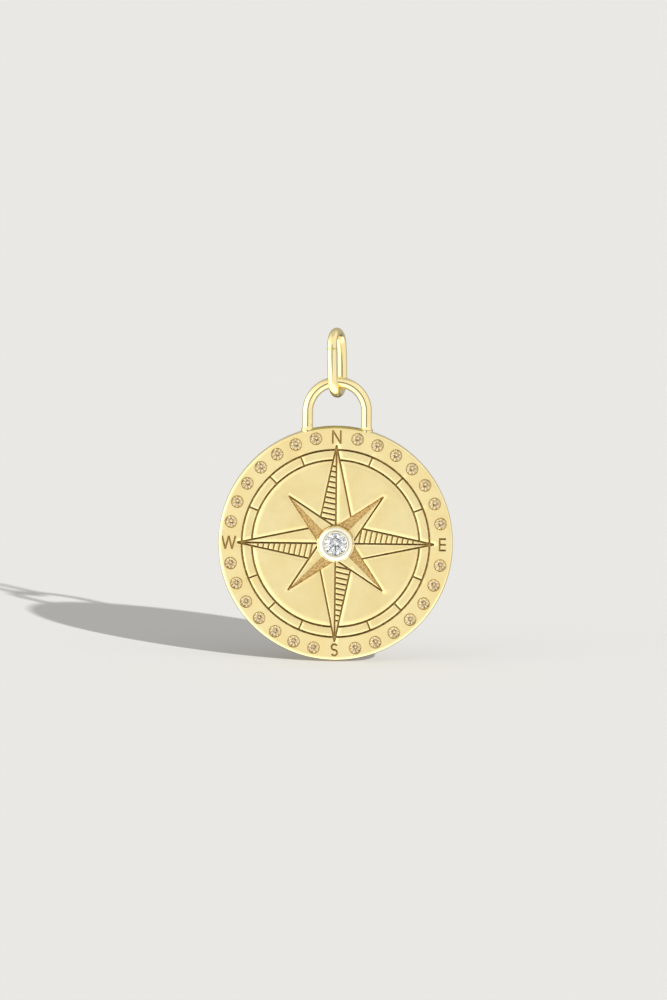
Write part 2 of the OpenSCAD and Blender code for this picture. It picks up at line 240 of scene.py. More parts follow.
class Drawing:
    """The pendant's measures in millimetres, with the values that follow from them."""

    def __init__(self, scene):
        for group in ("pendant_disc", "pendant_engraving", "pendant_settings", "pendant_wires"):
            self.__dict__.update(in_mm(getattr(scene, group)))
        self.disc_r = self.diameter / 2
        self.face = self.thickness / 2
        self.outer_r = self.disc_r - self.rim_width
        self.inner_r = self.outer_r - self.scale_width
        self.long_tip = self.outer_r + self.long_overrun
        self.short_tip = self.inner_r - self.short_gap
        self.stone_r = self.disc_r - self.stone_circle_inset
        self.stone_step = QUARTER / (self.stones_per_quarter + 1)
        self.bezel_r = self.centre_stone / 2 + self.stone_gap + self.bezel_wall
        self.arch_r = (self.arch_width - self.arch_wire) / 2
        slope, short_slope = math.tan(self.long_angle), math.tan(self.short_angle)
        # A short point's edges start as far across as up, with the short point upright
        self.short_side = self.short_tip * short_slope / (1 + short_slope)
        # The notch where a long point's edge meets a short point's edge, with the long point upright
        rise = (1 - short_slope) / (1 + short_slope)
        foot = self.short_tip * math.sqrt(2) * short_slope / (1 + short_slope)
        self.notch_y = (foot + rise * slope * self.long_tip) / (1 + rise * slope)
        self.notch_x = (self.long_tip - self.notch_y) * slope
        self.hatch_start = self.notch_y - self.notch_x * slope


def turned(points, clockwise):
    """Points of the flat drawing turned clockwise round its middle."""
    c, s = math.cos(clockwise), math.sin(clockwise)
    return np.asarray(points, float) @ np.array([[c, -s], [s, c]])


def upright(points, drawing):
    """Points (across, up, out of the disc's middle plane) in millimetres, stood up in the frame in metres."""
    points = np.asarray(points, float)
    return np.stack([points[:, 0], -points[:, 2], points[:, 1] + drawing.middle], axis=1) * MM


# The finishes


def node(tree, kind, inputs=(), **settings):
    """Adds a node with its settings and links. Inputs go by name, or in order to those in use. Each is a
    value, the output that feeds it, or a node whose first output in use does."""
    made = tree.nodes.new("ShaderNode" + kind)
    for name, value in settings.items():
        setattr(made, name, value)
    if not isinstance(inputs, dict):
        inputs = dict(zip((place for place, socket in enumerate(made.inputs) if socket.enabled), inputs))
    for key, value in inputs.items():
        if isinstance(value, bpy.types.Node):
            value = next(socket for socket in value.outputs if socket.enabled)
        if isinstance(value, bpy.types.NodeSocket):
            tree.links.new(value, made.inputs[key])
        else:
            made.inputs[key].default_value = value
    return made


def wandering(tree, where, millimetres, low=0.0, high=1.0, detail=2.0):
    """A value that wanders from low to high over patches of a size, so that nothing is one flat shade."""
    # Most of a noise lies between 0.35 and 0.65
    return node(tree, "MapRange", (grain(tree, where, millimetres, detail), 0.35, 0.65, low, high))


def grain(tree, where, millimetres, detail=2.0, stretch=(1, 1, 1)):
    """Noise whose grains are as wide as said, and longer along an axis with a stretch above 1."""
    place = node(tree, "Mapping", {"Vector": where, "Scale": [1 / (millimetres * MM * s) for s in stretch]})
    return node(tree, "TexNoise", {"Vector": place, "Scale": 1.0, "Detail": detail})


def up_or_down(tree):
    """1 where the surface faces up or down, 0 where it faces sideways."""
    facing = node(tree, "TexCoord").outputs["Normal"]
    across, _, up = node(tree, "SeparateXYZ", (facing,)).outputs
    across, up = (node(tree, "Math", (part,), operation="ABSOLUTE") for part in (across, up))
    return node(tree, "Math", (up, node(tree, "Math", (up, across), operation="ADD")), operation="DIVIDE")


def tones_of(names):
    """Colours of the metal and the stones by name."""
    return [getattr(bpy.context.scene.pendant_colours, name)[:] for name in names]


def worked_gold(
    tree,
    where,
    rough,
    relief,
    tones=("gold", "gold_warm"),
    level=(),
    stretch=(1, 1, 1),
    metallic=1.0,
    patch=2.5,
):
    """Gold whose tone and roughness wander over patches (mm), with relief given as grain and height (mm), and
    with painted shade: darker tones of its own where walls face up or down, as in lines that run level."""
    wander = wandering(tree, where, patch)
    pairs = (tones, level) if level else (tones,)
    mixed = [node(tree, "Mix", (wander, *tones_of(pair)), data_type="RGBA") for pair in pairs]
    # Painted shade: walls that face up or down, as in lines that run level, take the darker tones
    tone = node(tree, "Mix", (up_or_down(tree), *mixed), data_type="RGBA") if level else mixed[0]
    grain_mm, height_mm = relief
    bumps = {"Strength": 1.0, "Distance": height_mm * MM, "Height": grain(tree, where, grain_mm, 3, stretch)}
    sheen = wandering(tree, where, patch / 6, *rough, 4)
    return {"Base Color": tone, "Metallic": metallic, "Roughness": sheen, "Normal": node(tree, "Bump", bumps)}


def cut_stone(tree, where, tones, darkness, rough):
    """A polished brilliant: a diamond's high index, a tint that wanders by a hair, and painted dark facets
    and shade.
    """
    light, haze, dark = tones_of(tones)
    tone = node(tree, "Mix", (wandering(tree, where, 0.3), light, haze), data_type="RGBA")
    # The painted dark facets and shade take the stone's dark tone
    tone = node(tree, "Mix", (darkness, tone, dark), data_type="RGBA")
    sheen = wandering(tree, where, 0.2, 0.0, rough, 3)
    return {"Base Color": tone, "Roughness": sheen, "IOR": DIAMOND_IOR, "Transmission Weight": 1.0}


def on_the_face(tree, where, d):
    """How far a point lies to the right of the disc's middle, and how far above it."""
    across, _, height = node(tree, "SeparateXYZ", (where,)).outputs
    return across, node(tree, "Math", (height, d.middle * MM), operation="SUBTRACT")


def white_brilliant(tree, where):
    """Painted dark facets that stand in for reflections, more of them by the girdle, and a painted shadow of
    the bezel at the top and bottom.
    """
    d = Drawing(bpy.context.scene)
    across, up = on_the_face(tree, where, d)
    radius = node(tree, "VectorMath", (node(tree, "CombineXYZ", (across, up)),), operation="LENGTH")
    by_the_girdle = node(tree, "MapRange", (radius, 0, d.centre_stone / 2 * MM, -0.06, 0.05))
    # Painted dark facets 0.13 mm apart, white up to the first value of the noise and dark from the second
    noise = node(tree, "Math", (grain(tree, where, 0.13, 0.5), by_the_girdle), operation="ADD")
    facets = node(tree, "MapRange", (noise, 0.62, 0.66, 0, 1))
    # From the middle to where the painted shadow of the bezel starts and where it is full (mm), and how dark
    # it is
    starts, full, depth = 0.8, 0.93, 0.85
    bezel_shadow_ramp = node(tree, "MapRange", (radius, starts * MM, full * MM, 0, depth))
    steep = node(tree, "Math", (node(tree, "Math", (up,), operation="ABSOLUTE"), radius), operation="DIVIDE")
    top_or_bottom = node(tree, "MapRange", (steep, 0.8, 0.95, 0, 1))
    painted_bezel_shadow = node(tree, "Math", (bezel_shadow_ramp, top_or_bottom), operation="MULTIPLY")
    darkness = node(tree, "Math", (facets, painted_bezel_shadow), operation="MAXIMUM")
    return cut_stone(tree, where, ("white_stone", "white_haze", "white_dark"), darkness, 0.02)


# Painted dark facets, standing in for reflections, of a rim stone in the quarter after N: right of its
# middle, above it, radius (mm), how dark
CHAMPAGNE_PAINTED_FACETS = (
    (-0.10, -0.11, 0.07, 1.0),
    (0.28, 0.02, 0.11, 0.7),
    (0.20, 0.38, 0.11, 0.9),
    (0.12, -0.33, 0.08, 0.5),
    (-0.16, 0.24, 0.09, 0.4),
)


def champagne_brilliant(tree, where):
    """Painted shade at the girdle, and the same few painted dark facets, standing in for reflections, in
    every stone, turned with the quarter it stands in.
    """
    d = Drawing(bpy.context.scene)
    across, up = on_the_face(tree, where, d)
    # The middle of the nearest stone, and the way from there
    turn = node(tree, "Math", (across, up), operation="ARCTAN2")
    steps = node(tree, "Math", (turn, d.stone_step), operation="DIVIDE")
    number = node(tree, "Math", (steps,), operation="ROUND")
    to_stone = node(tree, "Math", (number, d.stone_step), operation="MULTIPLY")
    from_stone = []
    for place, wave in ((across, "SINE"), (up, "COSINE")):
        middle = node(tree, "Math", (to_stone,), operation=wave)
        middle = node(tree, "Math", (middle, d.stone_r * MM), operation="MULTIPLY")
        from_stone.append(node(tree, "Math", (place, middle), operation="SUBTRACT"))
    quarters = node(tree, "Math", (turn, QUARTER), operation="DIVIDE")
    quarter = node(tree, "Math", (quarters,), operation="FLOOR")
    turn_back = node(tree, "Math", (quarter, QUARTER), operation="MULTIPLY")
    flat = {"Vector": node(tree, "CombineXYZ", from_stone), "Angle": turn_back}
    flat = node(tree, "VectorRotate", flat, rotation_type="Z_AXIS")
    # From the stone's middle to where the painted shade at the girdle starts and where it is full (mm), and
    # how dark it is
    starts, full, depth = 0.40, 0.47, 0.25
    from_middle = node(tree, "VectorMath", (flat, (0, 0, 0)), operation="DISTANCE")
    darkness = node(tree, "MapRange", (from_middle, starts * MM, full * MM, 0, depth))
    for x, y, radius, depth in CHAMPAGNE_PAINTED_FACETS:
        from_facet = node(tree, "VectorMath", (flat, (x * MM, y * MM, 0)), operation="DISTANCE")
        painted_spot = node(tree, "MapRange", (from_facet, radius * 0.5 * MM, radius * 1.5 * MM, depth, 0))
        darkness = node(tree, "Math", (darkness, painted_spot), operation="MAXIMUM")
    return cut_stone(tree, where, ("champagne", "champagne_haze", "champagne_dark"), darkness, 0.04)


def floor_paint(tree, where):
    """Paint with a mottle that is darker by 0.4 percent."""
    paint = bpy.context.scene.pendant_studio.floor
    shade = [channel * 0.996 for channel in paint[:3]] + [1.0]
    tone = node(tree, "Mix", (wandering(tree, where, 40), paint[:], shade), data_type="RGBA")
    return {"Base Color": tone, "Roughness": 0.9, "Specular IOR Level": 0.0}


# The oxide that the buff has thinned
THIN_OXIDE = ("patina_worn", "patina_thin")
# The finishes by name, each with what its making gives the eye
FINISHES = {
    # Yellow gold rubbed with a fine felt wheel: light spreads widely, so the face glows and mirrors nothing.
    # The wheel's marks are too fine to show, and are drawn as waves 0.35 mm wide
    "satin_face_gold": partial(worked_gold, rough=(0.45, 0.5), relief=(0.35, 0.0012)),
    # The same gold a little more matte, because the wheel runs off at the rim, in waves 0.5 mm wide so that
    # they show
    "rim_band_gold": partial(worked_gold, rough=(0.5, 0.56), relief=(0.5, 0.001)),
    # Drawn wire, bent and buffed: a clear sheen that wavers every 1.6 mm, where the buff pressed harder
    "polished_wire_gold": partial(worked_gold, rough=(0.1, 0.17), relief=(1.6, 0.008)),
    # Turned and polished edge: clear but for the faint rings that the lathe left, 0.06 mm apart
    "polished_edge_gold": partial(
        worked_gold, rough=(0.14, 0.22), relief=(0.06, 0.0004), stretch=(30, 1, 30)
    ),
    # Edge between the legs of the arch: painted shade under the arch, a duller, greener, darker gold in 0.1
    # mm specks
    "unbuffed_edge_gold": partial(
        worked_gold,
        rough=(0.35, 0.5),
        relief=(0.1, 0.002),
        tones=("solder", "patina_thin"),
        metallic=0.8,
        patch=0.8,
    ),
    # Back rubbed straight on a fine stone: short parallel scratches, drawn 0.15 mm apart so that they show
    "brushed_back_gold": partial(worked_gold, rough=(0.29, 0.33), relief=(0.15, 0.004), stretch=(1, 1, 40)),
    # Oxide in the engraved lines, a crust of 0.05 mm grains, light brown in the upright lines, with painted
    # shade that makes the walls of the level ones dark
    "oxidised_groove_gold": partial(
        worked_gold,
        rough=(0.5, 0.65),
        relief=(0.05, 0.003),
        tones=THIN_OXIDE,
        level=("patina_thick", "patina"),
        metallic=0.55,
        patch=0.5,
    ),
    # The same crust mostly rubbed away, in the letters and round the rim stones: a lighter, softer brown,
    # with painted shade in walls that face up or down, and in the creases at the feet of the arch and the
    # bezel
    "worn_patina_gold": partial(
        worked_gold,
        rough=(0.45, 0.6),
        relief=(0.06, 0.003),
        tones=THIN_OXIDE,
        level=("patina", "patina_worn"),
        metallic=0.5,
        patch=0.4,
    ),
    # Bezel pressed over the stone with a burnisher 0.5 mm wide, with a soft sheen, and a painted highlight:
    # gold tinted almost white, paler than the disc
    "burnished_bezel_gold": partial(
        worked_gold, rough=(0.26, 0.36), relief=(0.5, 0.003), tones=("pale_gold", "pale_gold_warm")
    ),
    # Gold blasted with 0.1 mm grit and darkened: a dull brown with dark pits, drawn at the grit's size
    "sandblasted_gold": partial(
        worked_gold,
        rough=(0.55, 0.7),
        relief=(0.11, 0.012),
        tones=("matte", "matte_dark"),
        metallic=0.5,
        patch=0.14,
    ),
    # Gold solder where two pieces of metal join: a shade duller and greener than the wire, with 0.08 mm pits
    "solder_seam_gold": partial(
        worked_gold, rough=(0.3, 0.4), relief=(0.08, 0.003), tones=("gold_warm", "solder"), patch=0.2
    ),
    # Colourless diamond, cut and polished: white, with painted dark facets that stand in for reflections and
    # a painted shadow of the bezel
    "brilliant_white_stone": white_brilliant,
    # Champagne diamond, cut and polished: lit gold by its seat, with painted shade at the girdle and a few
    # painted dark facets that stand in for reflections, the same in all of a quarter's stones and turned with
    # the quarter
    "brilliant_champagne_stone": champagne_brilliant,
    # Matte emulsion on a smooth board: even, with a faint roller mottle a few centimetres across
    "painted_floor": floor_paint,
}


def finish_of(name):
    """A finish by name, made when it is first asked for."""
    if name in bpy.data.materials:
        return bpy.data.materials[name]
    made = bpy.data.materials.new(name)
    made.use_nodes = True
    tree = made.node_tree
    tree.nodes.clear()
    inputs = FINISHES[name](tree, node(tree, "TexCoord").outputs["Object"])
    node(tree, "OutputMaterial", (node(tree, "BsdfPrincipled", inputs),))
    return made


# Making meshes


def new_piece(name, points, faces, finishes, finish_of_face=None, sharp=False):
    """A mesh object from points (m) and faces, with its finishes, smooth all over or with sharp folds."""
    mesh = bpy.data.meshes.new(name)
    mesh.from_pydata([tuple(p) for p in points], [], [tuple(f) for f in faces], shade_flat=False)
    for finish in finishes:
        mesh.materials.append(finish_of(finish))
    if finish_of_face is not None:
        mesh.polygons.foreach_set("material_index", np.asarray(finish_of_face, np.int32))
    mesh.validate()
    if sharp:
        mesh.set_sharp_from_angle(angle=SHARP)
    piece = bpy.data.objects.new(name, mesh)
    bpy.context.scene.collection.objects.link(piece)
    return piece


def grid_faces(rings, sides, closed_rings=False):
    """Quads between rings of points, each ring a closed loop."""
    faces = []
    for ring in range(rings if closed_rings else rings - 1):
        near, far = ring * sides, (ring + 1) % rings * sides
        for side in range(sides):
            after = (side + 1) % sides
            faces.append((near + side, near + after, far + after, far + side))
    return faces


def turned_on_lathe(profile, sides, middle=(0.0, 0.0)):
    """Points and faces of a profile of (radius, height) turned round an upright axis. The outside lies to the
    right of the profile's run."""
    angles = np.arange(sides) * 2 * math.pi / sides
    points = [
        (middle[0] + radius * math.cos(a), middle[1] + radius * math.sin(a), height)
        for radius, height in profile
        for a in angles
    ]
    return points, grid_faces(len(profile), sides)


def rounding(centre, radius, start, end, steps):
    """Points on an arc of a profile, angles in degrees."""
    return [
        (centre[0] + radius * math.cos(a), centre[1] + radius * math.sin(a))
        for a in np.radians(np.linspace(start, end, steps + 1))
    ]


def swept_wire(path, sideways, upward, radii, closed):
    """Points and faces of a round wire along a path that stays in one plane, square to upward."""
    angles = np.arange(WIRE_SIDES) * 2 * math.pi / WIRE_SIDES
    rings = (
        path[:, None, :]
        + radii[:, None, None] * np.cos(angles)[None, :, None] * sideways[:, None, :]
        + radii[:, None, None] * np.sin(angles)[None, :, None] * upward[None, None, :]
    )
    return rings.reshape(-1, 3), grid_faces(len(path), WIRE_SIDES, closed)


def seat_profile(diameter, table, gap, lap, mouth):
    """Profile of a seat from the point at its bottom to its mouth, a gap clear of a brilliant whose table
    lies at a height, and lapping over the stone's girdle."""
    radius = diameter / 2
    girdle = table - radius * (1 - TABLE) * math.tan(CROWN)
    low = girdle - diameter * GIRDLE - gap
    return [
        (0.02, low - radius * math.tan(PAVILION)),
        (radius + gap, low),
        (radius + gap, girdle + 0.01),
        (radius - lap, girdle + gap / math.cos(CROWN) + lap * math.tan(CROWN)),
        (radius - lap, mouth),
    ]


# The engraved face


# What was done to the metal at a place on the face
FIELD, ENGRAVED, SANDBLASTED, WORN = range(4)


class Groove:
    """A line cut with a graver along corners (mm), V-shaped, with the metal beside it buffed down.

    left and right are the widths of the buffed strips on either side of the run."""

    def __init__(self, corners, width, depth, left=0.0, right=0.0, work=ENGRAVED):
        self.corners = np.asarray(corners, float)
        self.half = width / 2
        self.depth = depth
        self.left = left
        self.right = right
        self.work = work
        run = np.diff(self.corners, axis=0)
        self.lengths = np.linalg.norm(run, axis=1)
        self.along = run / self.lengths[:, None]
        self.before = np.concatenate([[0], np.cumsum(self.lengths)[:-1]])
        self.total = self.lengths.sum()

    def side_lines(self):
        """Unit vectors at each corner that point to the left of the run, longer on the outside of a bend."""
        across = np.stack([-self.along[:, 1], self.along[:, 0]], axis=1)
        before = np.vstack([across[:1], across])
        after = np.vstack([across, across[-1:]])
        middle = before + after
        middle /= np.linalg.norm(middle, axis=1)[:, None]
        return middle / (middle * before).sum(1)[:, None]

    def at(self, travel):
        """The point a length along the line, and the unit vector to its left there."""
        segment = min(int(np.searchsorted(self.before, travel, side="right")) - 1, len(self.lengths) - 1)
        along = self.along[segment]
        point = self.corners[segment] + (travel - self.before[segment]) * along
        return point, np.array([-along[1], along[0]])

    def rim_and_bottom(self):
        """Points and edges of the groove's rim, bottom line and the ridges down to its ends."""
        across = self.side_lines()
        left = self.corners + self.half * across
        right = self.corners - self.half * across
        inside = self.before[1:]
        inside = inside[(inside > self.half * 1.2) & (inside < self.total - self.half * 1.2)]
        bottom = np.array([self.at(t)[0] for t in [self.half, *inside, self.total - self.half]])
        n, m = len(left), len(bottom)
        points = np.vstack([left, right, bottom])
        first, last = 2 * n, 2 * n + m - 1
        runs = ((0, n), (n, n), (first, m))
        edges = [(start + i, start + i + 1) for start, count in runs for i in range(count - 1)]
        edges += [(0, n), (n - 1, 2 * n - 1), (0, first), (n, first), (n - 1, last), (2 * n - 1, last)]
        return points, edges

    def buff_points(self, spacing):
        """Points on the buffed strips, in rows beside the line."""
        steps = max(1, round(self.total / spacing))
        rows = []
        for travel in (np.arange(steps) + 0.5) * self.total / steps:
            middle, across = self.at(travel)
            for side, reach in ((1, self.left), (-1, self.right)):
                for part in (0.25, 0.6, 1.0) if reach else ():
                    rows.append(middle + side * (self.half + part * reach) * across)
        return np.array(rows).reshape(-1, 2)

    def measure(self, points):
        """For each point: how deep it lies in the groove (1 at the bottom, below 0 outside), how far outside
        the rim it is, the width of the buffed strip on its side, and the direction away from the groove."""
        offset = points[:, None, :] - self.corners[None, :-1, :]
        travel = (offset * self.along[None]).sum(2)
        off_line = offset - np.clip(travel, 0, self.lengths)[..., None] * self.along[None]
        nearest = np.linalg.norm(off_line, axis=2).argmin(1)
        rows = np.arange(len(points))
        along = self.along[nearest]
        across = np.stack([-along[:, 1], along[:, 0]], axis=1)
        sideways = (offset[rows, nearest] * across).sum(1)
        travelled = self.before[nearest] + travel[rows, nearest]
        past = np.maximum(np.maximum(-travelled, travelled - self.total), 0)
        beyond = np.where(travelled < 0, -1.0, 1.0) * past
        clear = np.maximum(np.abs(sideways) - self.half, 0)
        outside = np.hypot(clear, past)
        sign = np.where(sideways < 0, -1.0, 1.0)
        away = (clear * sign)[:, None] * across + beyond[:, None] * along
        at_rim = outside < 1e-6
        away = np.where(at_rim[:, None], sign[:, None] * across, away / np.maximum(outside, 1e-9)[:, None])
        ends = np.minimum(travelled, self.total - travelled) / self.half
        inside = np.minimum(1 - np.abs(sideways) / self.half, ends)
        strip = np.where(sideways < 0, self.right, self.left)
        return inside, outside, strip, away


def arc(radius, start, end, steps):
    """Corners on a circle round the middle, angles counterclockwise from +X."""
    return [(radius * math.cos(a), radius * math.sin(a)) for a in np.linspace(start, end, steps + 1)]


def rose_grooves(d):
    """The lines of the quarter round the long point that stands up, with their buffed strips' widths (mm)."""
    straight = (d.line_width, d.line_depth)
    fine = (d.line_width, d.hatch_depth)
    tip = np.array([0, d.long_tip])
    # The middle line starts a hair under the bezel
    grooves = [Groove([(0, d.bezel_r - 0.05), tip], *straight, left=0.1, right=0.32)]
    for side, left, right in ((-1, 0.32, 0.1), (1, 0.16, 0.32)):
        grooves.append(Groove([(side * d.notch_x, d.notch_y), tip], *straight, left, right))
    rungs = math.floor((d.long_tip - d.hatch_tip_gap - d.hatch_start) / d.hatch_pitch) + 1
    for rung in range(rungs):
        foot = d.hatch_start + rung * d.hatch_pitch
        reach = (d.long_tip - foot) * math.sin(d.long_angle)
        edge = (-reach * math.cos(d.long_angle), foot + reach * math.sin(d.long_angle))
        grooves.append(Groove([(0, foot), edge], *fine, left=0.13, right=0.13))
    for tick in range(1, d.ticks + 1):
        turn = tick * QUARTER / (d.ticks + 1)
        ends = turned([(0, d.inner_r), (0, d.outer_r)], turn)
        grooves.append(Groove(ends, *fine, left=0.22, right=0.22))
    plain_edge = {"left": 0.12, "right": 0.26}
    matte_edge = {"left": 0.26, "work": SANDBLASTED}
    for x, strips in ((d.short_side, plain_edge), (-d.short_side, matte_edge)):
        run = turned([(x, d.short_side), (0, d.short_tip)], QUARTER / 2)
        grooves.append(Groove(run, *straight, **strips))
    for radius, strips in ((d.outer_r, {"left": 0.22}), (d.inner_r, {"left": 0.42, "right": 0.2})):
        stop = math.asin(d.long_tip * math.sin(d.long_angle) / radius) - d.long_angle
        corners = arc(radius, stop, QUARTER - stop, 60)
        grooves.append(Groove(corners, d.circle_width, d.circle_depth, **strips))
    return grooves


def letter_strokes(d):
    """The strokes of N, E, S and W, clockwise from the top, each letter drawn round its own middle."""
    tall, stroke = d.letter_height / 2, d.letter_stroke
    # Half the widths of N, E and W, and of the W's feet (mm)
    n_side, e_side, w_side, w_inner = 0.34, 0.31, 0.57, 0.285
    bar = tall - stroke / 2
    bow = bar / 2
    s_curve = [(bow * math.cos(a), bow + bow * math.sin(a)) for a in np.radians(np.linspace(25, 270, 22))]
    s_curve += [(-x, -y) for x, y in s_curve[-2::-1]]
    letters = [
        [
            [(-n_side, -tall), (-n_side, tall)],
            [(n_side, -tall), (n_side, tall)],
            [(-n_side, tall), (n_side, -tall)],
        ],
        [[(stroke / 2 - e_side, -tall), (stroke / 2 - e_side, tall)]]
        + [[(-e_side, y), (e_side, y)] for y in (-bar, 0, bar)],
        [s_curve],
        [[(s * w_side, tall), (s * w_inner, -tall)] for s in (-1, 1)]
        + [[(0, tall), (s * w_inner, -tall)] for s in (-1, 1)],
    ]
    grooves = []
    for quarter, letter in enumerate(letters):
        middle = turned([(0, d.stone_r)], quarter * QUARTER)[0]
        for corners in letter:
            grooves.append(Groove(np.array(corners) + middle, stroke, d.letter_depth, work=WORN))
    return grooves


def stone_places(d):
    """Middles of the rim stones in the flat drawing, clockwise from the top."""
    turns = [q * QUARTER + k * d.stone_step for q in range(4) for k in range(1, d.stones_per_quarter + 1)]
    return [turned([(0, d.stone_r)], turn)[0] for turn in turns]


class EngravedFace:
    """The front of the disc as triangles between the grooves, with the height and slope of the metal."""

    # The sloping wall of a matte half, how far from its line a groove's work reaches, how deep the buff goes
    # at most, and the metal that is hidden under the bezel (mm)
    WALL, REACH, BUFF_DEPTH, UNDER_BEZEL = 0.03, 0.6, 0.08, 0.1
    # The steepest slope that the buff leaves
    BUFF_STEEPEST = 0.42
    # Pitch of the points on the buffed strips, and of those elsewhere (mm)
    STRIP_PITCH, NET_PITCH = 0.13, 0.5
    # A depth that doesn't count (mm)
    HAIR = 1e-4

    def __init__(self, d):
        self.d = d
        self.grooves = letter_strokes(d)
        for quarter in range(4):
            for groove in rose_grooves(d):
                corners = turned(groove.corners, quarter * QUARTER)
                size_of = (groove.half * 2, groove.depth, groove.left, groove.right)
                self.grooves.append(Groove(corners, *size_of, groove.work))
        half = [(0, 0), (0, d.short_tip), (-d.short_side, d.short_side)]
        self.matte_halves = [turned(half, (q + 0.5) * QUARTER) for q in range(4)]
        self.stones = np.array(stone_places(d))
        self.lip_r = d.rim_stone / 2 - d.lap
        self.cut_r = self.lip_r + d.bright_cut

    def in_matte_half(self, points):
        """How far inside a matte half each point is, from that half's middle line, or 0 outside."""
        inside = np.zeros(len(points))
        for corners in self.matte_halves:
            far = np.full(len(points), np.inf)
            for i in range(3):
                run = corners[(i + 1) % 3] - corners[i]
                gap = np.cross(run / np.linalg.norm(run), points - corners[i])
                far = np.minimum(far, gap)
                if i == 0:
                    from_middle = gap
            inside = np.where(far > -self.HAIR, np.maximum(from_middle, 0), inside)
        return inside

    def shape(self, points):
        """Height, slope, and what was done at each point."""
        cut = np.zeros(len(points))
        carved_as = np.zeros(len(points), int)
        buffed = np.zeros(len(points))
        slope = np.zeros((len(points), 2))
        for groove in self.grooves:
            low = groove.corners.min(0) - self.REACH
            high = groove.corners.max(0) + self.REACH
            near = np.flatnonzero(((points > low) & (points < high)).all(1))
            if not len(near):
                continue
            inside, outside, strip, away = groove.measure(points[near])
            deep = -groove.depth * np.clip(inside, 0, 1)
            deeper = deep < cut[near]
            cut[near[deeper]] = deep[deeper]
            carved_as[near[deeper]] = groove.work
            fall = np.clip(1 - outside / np.maximum(strip, 1e-6), 0, 1) * (strip > 0)
            buffed[near] -= self.d.buff_slope * strip / 2 * fall**2
            slope[near] += (self.d.buff_slope * fall)[:, None] * away
        steep = np.linalg.norm(slope, axis=1)
        slope *= (np.minimum(steep, self.BUFF_STEEPEST) / np.maximum(steep, 1e-9))[:, None]
        buffed = np.maximum(buffed, -self.BUFF_DEPTH)
        matte = -self.d.matte_depth * np.clip(self.in_matte_half(points) / self.WALL, 0, 1)
        seat = np.linalg.norm(points[:, None] - self.stones[None], axis=2).min(1)
        cone = -self.d.bright_cut_depth * np.clip((self.cut_r - seat) / self.d.bright_cut, 0, 1)
        height = buffed + np.minimum(np.minimum(cut, matte), cone)
        work = np.where(cut < -self.HAIR, carved_as, np.where(matte < -self.HAIR, SANDBLASTED, FIELD))
        work[cone < -self.HAIR] = WORN
        return height, slope, work

    def drawing_lines(self):
        """Every point and edge that the triangles have to keep."""
        points, edges = [], []

        def add(more, pairs):
            first = sum(len(p) for p in points)
            points.append(np.asarray(more, float))
            edges.extend((first + a, first + b) for a, b in pairs)

        def ring(radius, steps, middle=(0.0, 0.0)):
            corners = np.array(arc(radius, 0, 2 * math.pi, steps)[:-1]) + middle
            add(corners, [(i, (i + 1) % steps) for i in range(steps)])

        ring(self.d.disc_r - self.d.front_edge, DISC_SIDES)
        ring(self.d.bezel_r - self.UNDER_BEZEL, 64)
        for middle in self.stones:
            ring(self.cut_r, SEAT_SIDES, middle)
            ring(self.lip_r, SEAT_SIDES, middle)
        for groove in self.grooves:
            add(*groove.rim_and_bottom())
        # The middle line of each matte half, and the foot of the sloping wall beside it
        for corners in self.matte_halves:
            run = corners[1] / np.linalg.norm(corners[1])
            inward = np.array([-run[1], run[0]]) * self.WALL
            foot = [corners[0] + inward, corners[1] + inward - run * 0.1]
            add([corners[0], corners[1], *foot], [(0, 1), (2, 3)])
        return points, edges

    def loose_points(self):
        """Points on the buffed strips and a coarse net of triangles over the rest, clear of every line."""
        buffed = [groove for groove in self.grooves if groove.left or groove.right]
        rows = [groove.buff_points(self.STRIP_PITCH) for groove in buffed]
        pitch = self.NET_PITCH
        reach = int(self.d.disc_r / pitch) + 1
        net = [
            ((i + 0.5 * (j % 2)) * pitch, j * pitch * 0.87)
            for i in range(-reach, reach + 1)
            for j in range(-reach - 3, reach + 4)
        ]
        points = np.vstack([*rows, np.array(net)])
        radius = np.linalg.norm(points, axis=1)
        # Clear of the rounded edge, the bezel, the bright cuts and the lines
        keep = (radius < self.d.disc_r - self.d.front_edge - 0.05) & (radius > self.d.bezel_r)
        keep &= np.linalg.norm(points[:, None] - self.stones[None], axis=2).min(1) > self.cut_r + 0.03
        for groove in self.grooves:
            _, outside, _, _ = groove.measure(points)
            keep &= outside > 0.012
        return points[keep]

    def mesh(self):
        """Points (mm), triangles, what was done to each triangle, and a normal for each of its corners."""
        points, edges = self.drawing_lines()
        flat = np.vstack([*points, self.loose_points()])
        made = delaunay_2d_cdt([Vector(p) for p in flat], edges, [], 0, 1e-6)
        flat = np.array([tuple(p) for p in made[0]])
        triangles = np.array(made[2])
        middles = flat[triangles].mean(1)
        radius = np.linalg.norm(middles, axis=1)
        # Nothing stays on the rounded edge, well under the bezel or in the mouths of the seats
        keep = (radius < self.d.disc_r - self.d.front_edge) & (radius > self.d.bezel_r - self.UNDER_BEZEL)
        keep &= np.linalg.norm(middles[:, None] - self.stones[None], axis=2).min(1) > self.lip_r * 0.997
        triangles, middles = triangles[keep], middles[keep]
        height, slope, _ = self.shape(flat)
        _, _, work = self.shape(middles)
